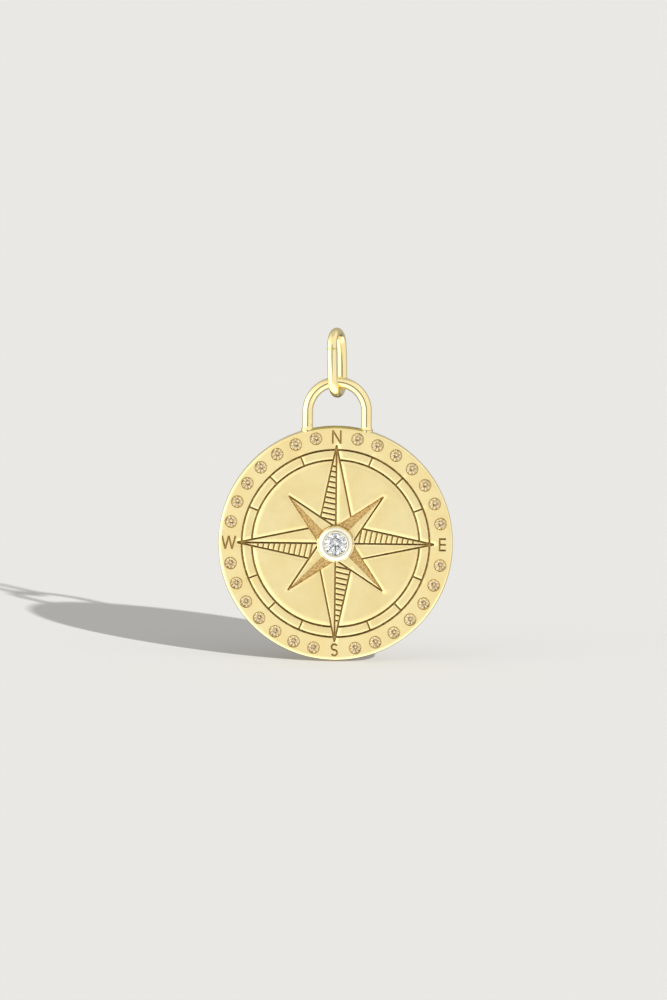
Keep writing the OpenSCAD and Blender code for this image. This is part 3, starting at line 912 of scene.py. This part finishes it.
        # The oxide is worn thin in the tips of the long points, from the scale outwards
        across_the_scale = (radius[keep] > self.d.inner_r) & (radius[keep] < self.d.outer_r + 0.15)
        at_tip = across_the_scale & (np.abs(middles).min(1) < 0.28)
        work[at_tip & (work == ENGRAVED)] = WORN
        solid = np.column_stack([flat, height])
        corner = solid[triangles]
        plane = np.cross(corner[:, 1] - corner[:, 0], corner[:, 2] - corner[:, 0])
        flipped = plane[:, 2] < 0
        triangles[flipped] = triangles[flipped][:, ::-1]
        plane[flipped] *= -1
        plane /= np.maximum(np.linalg.norm(plane, axis=1), 1e-12)[:, None]
        buffed = np.column_stack([-slope, np.ones(len(flat))])
        buffed /= np.linalg.norm(buffed, axis=1)[:, None]
        normals = buffed[triangles]
        carved = work != FIELD
        normals[carved] = plane[carved][:, None, :]
        return solid, triangles, work, normals


def keep_normals(piece, normals):
    """Gives each corner of a piece its own normal."""
    piece.data.normals_split_custom_set([tuple(n) for n in normals.reshape(-1, 3)])


# One operator for each group of pieces


def on_medallion(piece):
    """The piece moves with the medallion and stands for its plain solid, which it hides."""
    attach(piece, "medallion")
    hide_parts("medallion")


class PENDANT_OT_face(bpy.types.Operator):
    """Builds the engraved face of the disc"""

    bl_idname = "pendant.face"
    bl_label = "Engraved face"

    def execute(self, context):
        d = Drawing(context.scene)
        points, triangles, work, normals = EngravedFace(d).mesh()
        points[:, 2] += d.face
        radius = np.linalg.norm(points[triangles].mean(1)[:, :2], axis=1)
        # Two finishes of the bare field, within the outer circle and outside it, and one for each work
        bare = ["satin_face_gold", "rim_band_gold"]
        finishes = [*bare, "oxidised_groove_gold", "sandblasted_gold", "worn_patina_gold"]
        finish = np.where(work == FIELD, np.where(radius > d.outer_r, 1, 0), work + 1)
        piece = new_piece("engraved_face", upright(points, d), triangles, finishes, finish)
        keep_normals(piece, normals[..., [0, 2, 1]] * [1, -1, 1])
        on_medallion(piece)
        return {"FINISHED"}


class PENDANT_OT_seats(bpy.types.Operator):
    """Builds the seats that the rim stones sit in"""

    bl_idname = "pendant.seats"
    bl_label = "Rim seats"

    def execute(self, context):
        d = Drawing(context.scene)
        profile = seat_profile(d.rim_stone, -d.bright_cut_depth, d.stone_gap, d.lap, -d.bright_cut_depth)
        points, faces = [], []
        for middle in stone_places(d):
            cup, quads = turned_on_lathe([(r, d.face + h) for r, h in profile], SEAT_SIDES, middle)
            faces += [tuple(len(points) + corner for corner in quad) for quad in quads]
            points += cup
        piece = new_piece("rim_seats", upright(points, d), faces, ["polished_edge_gold"], sharp=True)
        on_medallion(piece)
        return {"FINISHED"}


class PENDANT_OT_edge(bpy.types.Operator):
    """Builds the polished edge and the plain brushed back"""

    bl_idname = "pendant.edge"
    bl_label = "Edge and back"

    def execute(self, context):
        d = Drawing(context.scene)
        front = rounding((d.disc_r - d.front_edge, d.face - d.front_edge), d.front_edge, 90, 0, 10)
        back = rounding((d.disc_r - d.back_edge, d.back_edge - d.face), d.back_edge, 0, -90, 8)
        # The flat back's rings, as shares of the disc's radius
        flat_back = [(part * d.disc_r, -d.face) for part in (0.9, 0.6, 0.3, 0.001)]
        profile = [*front, (d.disc_r, 0.0), *back, *flat_back]
        points, faces = turned_on_lathe(profile[::-1], DISC_SIDES)
        ring_of = np.array([quad[0] // DISC_SIDES for quad in faces])
        corners = np.array([points[quad[0]][:2] for quad in faces])
        between_legs = (np.abs(corners[:, 0]) < d.arch_r) & (corners[:, 1] > 0)
        finishes = ["polished_edge_gold", "brushed_back_gold", "rim_band_gold", "unbuffed_edge_gold"]
        # Painted shade on the edge between the arch's legs
        finish = np.where(between_legs, 3, 0)
        # The first rings are the back, and the last three, where the edge meets the face, match the rim band
        finish[ring_of < len(flat_back)] = 1
        finish[ring_of >= len(profile) - 4] = 2
        piece = new_piece("edge_and_back", upright(points, d), faces, finishes, finish, sharp=True)
        on_medallion(piece)
        return {"FINISHED"}


class PENDANT_OT_bezel(bpy.types.Operator):
    """Builds the bezel round the centre stone"""

    bl_idname = "pendant.bezel"
    bl_label = "Bezel"

    # The radius of the lip over the stone, and how far above the disc's middle the painted shade starts in
    # the crease at the bezel's foot (mm), so that only the crease's upper side is dark
    LIP_ROUND, CREASE_FROM = 0.06, 0.4

    def execute(self, context):
        d = Drawing(context.scene)
        lip = d.centre_stone / 2 - d.bezel_lap
        edge = min(d.bezel_round, d.bezel_wall)
        mouth = d.bezel_height - self.LIP_ROUND
        profile = [
            *seat_profile(d.centre_stone, d.bezel_height + d.table_rise, d.stone_gap, d.bezel_lap, mouth),
            *rounding((lip + self.LIP_ROUND, mouth), self.LIP_ROUND, 170, 90, 5),
            *rounding((d.bezel_r - edge, d.bezel_height - edge), edge, 90, 0, 12),
            # The foot flows out into the disc
            (d.bezel_r, 0.05),
            (d.bezel_r + 0.015, 0.015),
            (d.bezel_r + 0.06, 0.004),
            (d.bezel_r + 0.06, -0.1),
        ]
        points, faces = turned_on_lathe([(r, d.face + h) for r, h in profile], BEZEL_SIDES)
        foot = (len(profile) - 4) * BEZEL_SIDES
        finishes = ["burnished_bezel_gold", "worn_patina_gold"]
        # Painted shade along the upper side of the crease at the bezel's foot, in the worn patina finish
        in_shaded_crease = [quad[0] >= foot and points[quad[0]][1] > self.CREASE_FROM for quad in faces]
        piece = new_piece("bezel", upright(points, d), faces, finishes, in_shaded_crease, sharp=True)
        on_medallion(piece)
        return {"FINISHED"}


class PENDANT_OT_arch(bpy.types.Operator):
    """Builds the arch and the solder at its feet"""

    bl_idname = "pendant.arch"
    bl_label = "Arch"

    def execute(self, context):
        d = Drawing(context.scene)
        spring = d.crown - d.middle - d.arch_r
        foot = math.sqrt(d.disc_r**2 - d.arch_r**2)
        # The legs start inside the disc, in short steps up to the end of the solder
        heights = np.concatenate([np.linspace(foot - 0.3, foot + d.solder_height, 14), [spring - 0.02]])
        legs = [(d.arch_r, y, 1.0, 0.0) for y in heights]
        bow = [
            (d.arch_r * math.cos(a), spring + d.arch_r * math.sin(a), math.cos(a), math.sin(a))
            for a in np.linspace(0, math.pi, 65)
        ]
        far = [(-x, y, -1.0, 0.0) for x, y, _, _ in reversed(legs)]
        rows = np.array([*legs, *bow, *far])
        path = np.column_stack([rows[:, :2], np.zeros(len(rows))])
        sideways = np.column_stack([rows[:, 2:], np.zeros(len(rows))])
        above_foot = np.clip((rows[:, 1] - foot) / d.solder_height, -0.3, 1)
        flare = np.where(rows[:, 1] < spring - 0.01, d.solder_flare * (1 - above_foot) ** 2, 0)
        radii = d.arch_wire / 2 + np.minimum(flare, d.solder_flare)
        points, faces = swept_wire(path, sideways, np.array([0, 0, -1.0]), radii, False)
        ring_height = np.array([rows[quad[0] // WIRE_SIDES, 1] for quad in faces])
        # Painted shade in the crease where a leg meets the disc, in the worn patina finish
        at_shaded_crease = (ring_height > foot - 0.08) & (ring_height < foot - 0.01)
        finishes = ["polished_wire_gold", "worn_patina_gold"]
        piece = new_piece("arch", upright(points, d), faces, finishes, at_shaded_crease)
        on_medallion(piece)
        return {"FINISHED"}


class PENDANT_OT_link(bpy.types.Operator):
    """Builds the oval link with its soldered seam"""

    bl_idname = "pendant.link"
    bl_label = "Oval link"

    def execute(self, context):
        d = Drawing(context.scene)
        half_w = (d.link_width - d.link_wire) / 2
        half_h = (d.link_height - d.link_wire) / 2
        end = half_h - d.link_bend
        reach = half_w - d.link_bend
        side_x = (end * end - reach * reach) / (2 * reach)
        side_r = half_w + side_x
        half_angle = math.atan2(end, side_x)
        rows = []
        for turn in (0, math.pi):
            for centre, radius, first, last, steps in (
                ((-side_x, 0), side_r, -half_angle, half_angle, 110),
                ((0, end), d.link_bend, half_angle, math.pi - half_angle, 60),
            ):
                for a in np.linspace(first, last, steps, endpoint=False):
                    x, y = centre[0] + radius * math.cos(a), centre[1] + radius * math.sin(a)
                    c, s = math.cos(turn), math.sin(turn)
                    rows.append((c * x - s * y, s * x + c * y, math.cos(a + turn), math.sin(a + turn)))
        rows = np.array(rows)
        heading = math.radians(90) - d.link_turn
        c, s = math.cos(d.link_lean), math.sin(d.link_lean)
        level = np.array([math.cos(heading) * c, math.sin(heading), math.cos(heading) * s])
        up = np.array([-s, 0, c])
        above_crown = d.link_wire / 2 - half_h - d.crown
        path = rows[:, :1] * level + (rows[:, 1:2] + above_crown) * up + [0, 0, d.crown]
        sideways = rows[:, 2:3] * level + rows[:, 3:4] * up
        # Height above the seam on the near side, and far from it elsewhere
        from_seam = np.where(rows[:, 0] < 0, path[:, 2] - d.seam_height, 9.0)
        # A hair thinner than the solid, and thinner still where the seam was filed
        radii = d.link_wire / 2 - 0.01 - 0.003 * np.exp(-((from_seam / 0.06) ** 2))
        points, faces = swept_wire(path, sideways, np.cross(up, level), radii, True)
        on_seam = [abs(from_seam[quad[0] // WIRE_SIDES]) < 0.1 for quad in faces]
        finishes = ["polished_wire_gold", "solder_seam_gold"]
        piece = new_piece("link_wire", points * MM, faces, finishes, on_seam)
        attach(piece, "link")
        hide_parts("oval_link")
        return {"FINISHED"}


class PENDANT_OT_stones(bpy.types.Operator):
    """Gives the cut stones of the model their finish"""

    bl_idname = "pendant.stones"
    bl_label = "Stones"

    def execute(self, context):
        stones = [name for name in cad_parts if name.startswith("rim_stone") or name == "center_stone"]
        if not stones:
            raise RuntimeError("The model has no stones to finish")
        for name in stones:
            finish = "brilliant_white_stone" if name == "center_stone" else "brilliant_champagne_stone"
            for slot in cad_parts[name].material_slots:
                slot.material = finish_of(finish)
        return {"FINISHED"}


class PENDANT_OT_studio(bpy.types.Operator):
    """Builds the floor, the light and the camera"""

    bl_idname = "pendant.studio"
    bl_label = "Studio"

    # How far the floor reaches each way (m)
    FLOOR_REACH = 20.0

    def execute(self, context):
        studio = context.scene.pendant_studio
        context.scene.view_settings.view_transform = "Standard"
        reach = self.FLOOR_REACH
        corners = [(-reach, -reach, 0), (reach, -reach, 0), (reach, reach, 0), (-reach, reach, 0)]
        floor = new_piece("studio_floor", corners, [(0, 1, 2, 3)], ["painted_floor"])
        floor.location.z = studio.floor_height
        floor.visible_glossy = False
        floor.visible_transmission = False
        self.add_sun(context, studio, floor)
        self.add_surroundings(context, studio)
        self.add_camera(context, studio)
        return {"FINISHED"}

    def add_sun(self, context, studio, floor):
        """A hard light from the right, flagged off the metal, that only draws the shadow on the floor."""
        lamp = bpy.data.lights.new("shadow_light", "SUN")
        lamp.energy = studio.sun_strength
        lamp.angle = math.radians(1)
        sun = bpy.data.objects.new("shadow_light", lamp)
        context.scene.collection.objects.link(sun)
        level = math.cos(studio.sun_height)
        across, back = math.sin(studio.sun_side) * level, -math.cos(studio.sun_side) * level
        towards = Vector((across, back, math.sin(studio.sun_height)))
        sun.rotation_euler = towards.to_track_quat("Z", "Y").to_euler()
        lit = bpy.data.collections.new("lit_by_shadow_light")
        lit.objects.link(floor)
        sun.light_linking.receiver_collection = lit

    def add_surroundings(self, context, studio):
        """Soft white surroundings, brighter on the left and below, with the dark camera in the middle."""
        world = bpy.data.worlds.new("soft_studio")
        world.use_nodes = True
        context.scene.world = world
        tree = world.node_tree
        tree.nodes.clear()
        where = node(tree, "TexCoord").outputs["Generated"]
        heading = node(tree, "VectorMath", (where,), operation="NORMALIZE")
        across, deep, up = node(tree, "SeparateXYZ", (heading,)).outputs

        # The middle of the dark round the camera lies 2 degrees up
        camera_side = (0.0, -math.cos(math.radians(2)), math.sin(math.radians(2)))
        facing = node(tree, "VectorMath", (heading, camera_side), operation="DOT_PRODUCT")
        off_axis = node(tree, "Math", (facing,), operation="ARCCOSINE")
        # Brightness on the left and elsewhere, and how it fades downwards behind the pendant
        light = node(tree, "MapRange", (across, -0.7, -0.1, 2.2, 1.01), interpolation_type="SMOOTHSTEP")
        behind = node(tree, "MapRange", (up, -0.5, 0.0, 0.2, 0.5), interpolation_type="SMOOTHSTEP")
        # What lies over that, each with how it sets in and how bright it is: the upper half, the ceiling, the
        # floor, what is behind the pendant, and the camera
        for area, brightness in (
            ((up, 0.15, 0.7, 0, 1), 1.05),
            ((up, 0.75, 0.95, 0, 1), 0.72),
            ((up, -0.8, -0.2, 1, 0), 1.9),
            ((deep, 0.1, 0.6, 0, 1), behind),
            ((off_axis, math.radians(8), math.radians(16), 1, 0), 0.2),
        ):
            share_of = node(tree, "MapRange", area, interpolation_type="SMOOTHSTEP")
            light = node(tree, "Mix", (share_of, light, brightness))
        soft_light = node(tree, "Background", {"Color": studio.soft_light[:], "Strength": light})
        wall = node(tree, "Background", {"Color": studio.wall[:], "Strength": 1.0})
        seen = node(tree, "LightPath").outputs["Is Camera Ray"]
        node(tree, "OutputWorld", (node(tree, "MixShader", (seen, soft_light, wall)),))

    def add_camera(self, context, studio):
        """A long lens from the front, a little above the pendant."""
        lens = bpy.data.cameras.new("camera")
        lens.lens = studio.lens
        lens.sensor_width = 36
        lens.clip_start = 0.01
        lens.clip_end = 60
        camera = bpy.data.objects.new("camera", lens)
        context.scene.collection.objects.link(camera)
        back = Vector((0, -math.cos(studio.camera_height), math.sin(studio.camera_height)))
        aim = Vector((studio.aim_side, 0, studio.aim_height))
        camera.location = aim + back * studio.camera_distance
        level = back.to_track_quat("Z", "Y")
        camera.rotation_euler = (level @ Quaternion((0, 0, 1), studio.roll)).to_euler()
        context.scene.camera = camera


STEPS = (
    PENDANT_OT_face,
    PENDANT_OT_seats,
    PENDANT_OT_edge,
    PENDANT_OT_bezel,
    PENDANT_OT_arch,
    PENDANT_OT_link,
    PENDANT_OT_stones,
    PENDANT_OT_studio,
)


class PENDANT_PT_panel(bpy.types.Panel):
    """Lists the pendant's settings and the steps that build it"""

    bl_idname = "PENDANT_PT_panel"
    bl_label = "Compass pendant"
    bl_space_type = "VIEW_3D"
    bl_region_type = "UI"
    bl_category = "Pendant"

    def draw(self, context):
        for name, group in GROUPS.items():
            box = self.layout.box()
            box.label(text=group.__doc__)
            for prop in group.__annotations__:
                box.prop(getattr(context.scene, name), prop)
        for step in STEPS:
            self.layout.operator(step.bl_idname)


def register():
    for group in (*GROUPS.values(), *STEPS, PENDANT_PT_panel):
        bpy.utils.register_class(group)
    for name, group in GROUPS.items():
        setattr(bpy.types.Scene, name, PointerProperty(type=group))


def unregister():
    for name in GROUPS:
        delattr(bpy.types.Scene, name)
    for group in (PENDANT_PT_panel, *reversed(STEPS), *reversed(GROUPS.values())):
        bpy.utils.unregister_class(group)


def main():
    """Builds every piece in order."""
    register()
    for step in STEPS:
        group, name = step.bl_idname.split(".")
        getattr(getattr(bpy.ops, group), name)()


if __name__ == "__main__":
    main()
